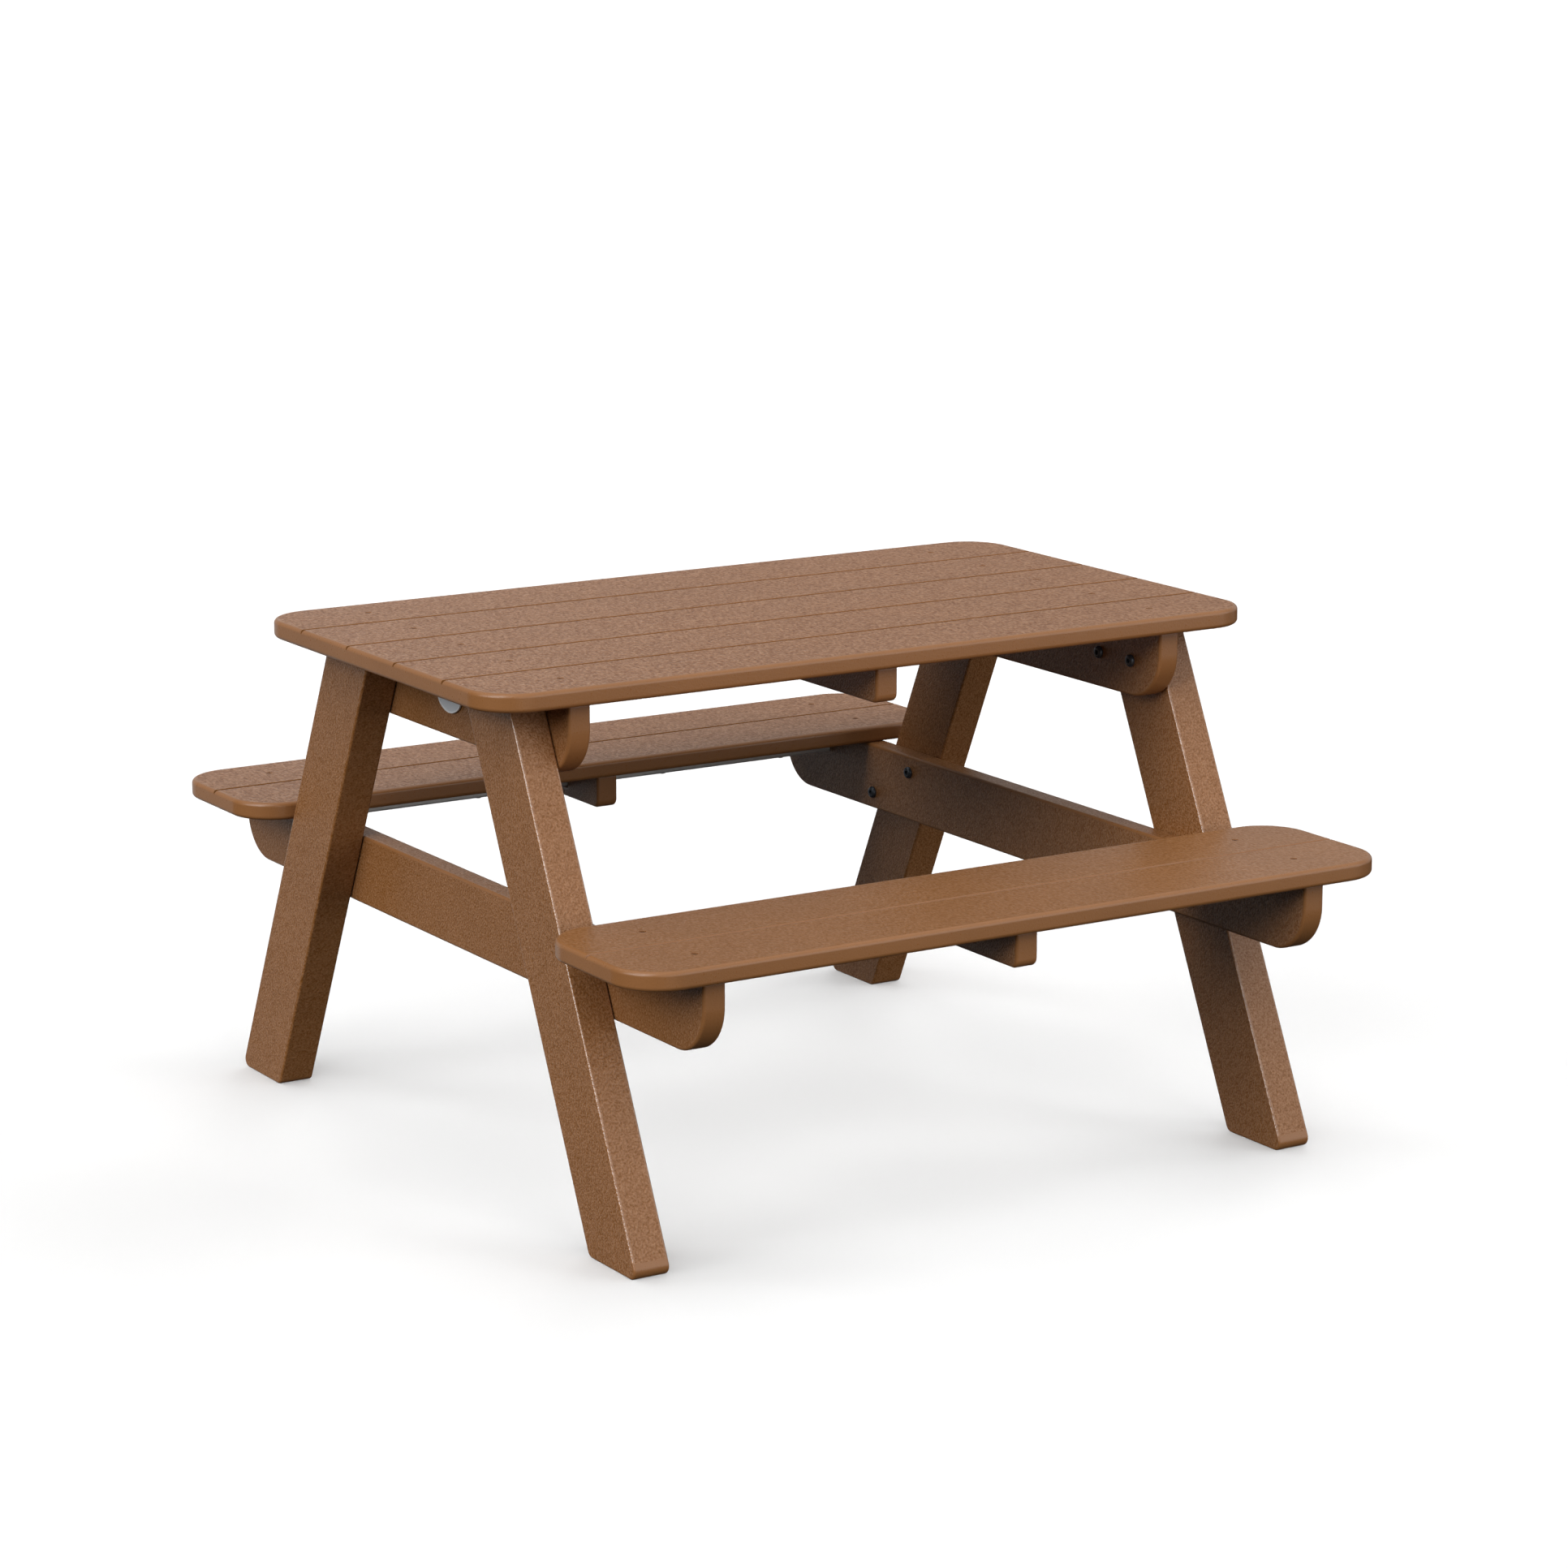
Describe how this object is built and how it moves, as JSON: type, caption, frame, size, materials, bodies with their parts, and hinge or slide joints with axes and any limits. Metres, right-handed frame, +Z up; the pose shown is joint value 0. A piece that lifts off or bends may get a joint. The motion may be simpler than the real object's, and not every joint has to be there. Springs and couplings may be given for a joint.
{
  "type": "picnic table",
  "caption": "Child-size A-frame picnic table: grooved plank-look top with two attached benches on splayed legs, bolted cross rails and cleats, in solid plastic lumber.",
  "frame": {"origin": "on the floor, under the middle of the table (middle of the footprint)", "axes": "+X along the tabletop, +Y across it from the front bench to the rear bench, +Z up"},
  "size_m": [0.914, 1.012, 0.54],
  "materials": {
    "lumber_panel": "light brown solid plastic lumber, fine orange-peel grain on the faces, smooth routed edges",
    "lumber_frame": "light brown solid plastic lumber, fine orange-peel grain on the faces, smooth rounded edges",
    "tube_metal": "mill-finish aluminium, drawn lines along the length",
    "badge_metal": "satin silver, blank",
    "bolt_steel": "black coated steel, satin",
    "insert_brass": "plain machined brass",
    "screw_coated": "brown coated steel, matched to the lumber"
  },
  "bodies": {
    "root": {"tabletop": "lumber_panel", "front_bench_seat": "lumber_panel", "rear_bench_seat": "lumber_panel", "left_front_leg": "lumber_frame", "left_rear_leg": "lumber_frame", "right_front_leg": "lumber_frame", "right_rear_leg": "lumber_frame", "left_top_rail": "lumber_frame", "right_top_rail": "lumber_frame", "left_seat_rail": "lumber_frame", "right_seat_rail": "lumber_frame", "tabletop_cleat": "lumber_frame", "front_bench_cleat": "lumber_frame", "rear_bench_cleat": "lumber_frame", "front_bench_tube": "tube_metal", "rear_bench_tube": "tube_metal", "badge": "badge_metal", "left_leg_inserts": "insert_brass", "right_leg_inserts": "insert_brass", "left_top_rail_bolts": "bolt_steel", "right_top_rail_bolts": "bolt_steel", "left_seat_rail_bolts": "bolt_steel", "right_seat_rail_bolts": "bolt_steel", "left_tabletop_screws": "screw_coated", "right_tabletop_screws": "screw_coated", "front_bench_screws": "screw_coated", "rear_bench_screws": "screw_coated", "tabletop_cleat_screws": "screw_coated", "front_cleat_screws": "screw_coated", "rear_cleat_screws": "screw_coated", "front_tube_screws": "screw_coated", "rear_tube_screws": "screw_coated"}
  },
  "joints": []
}
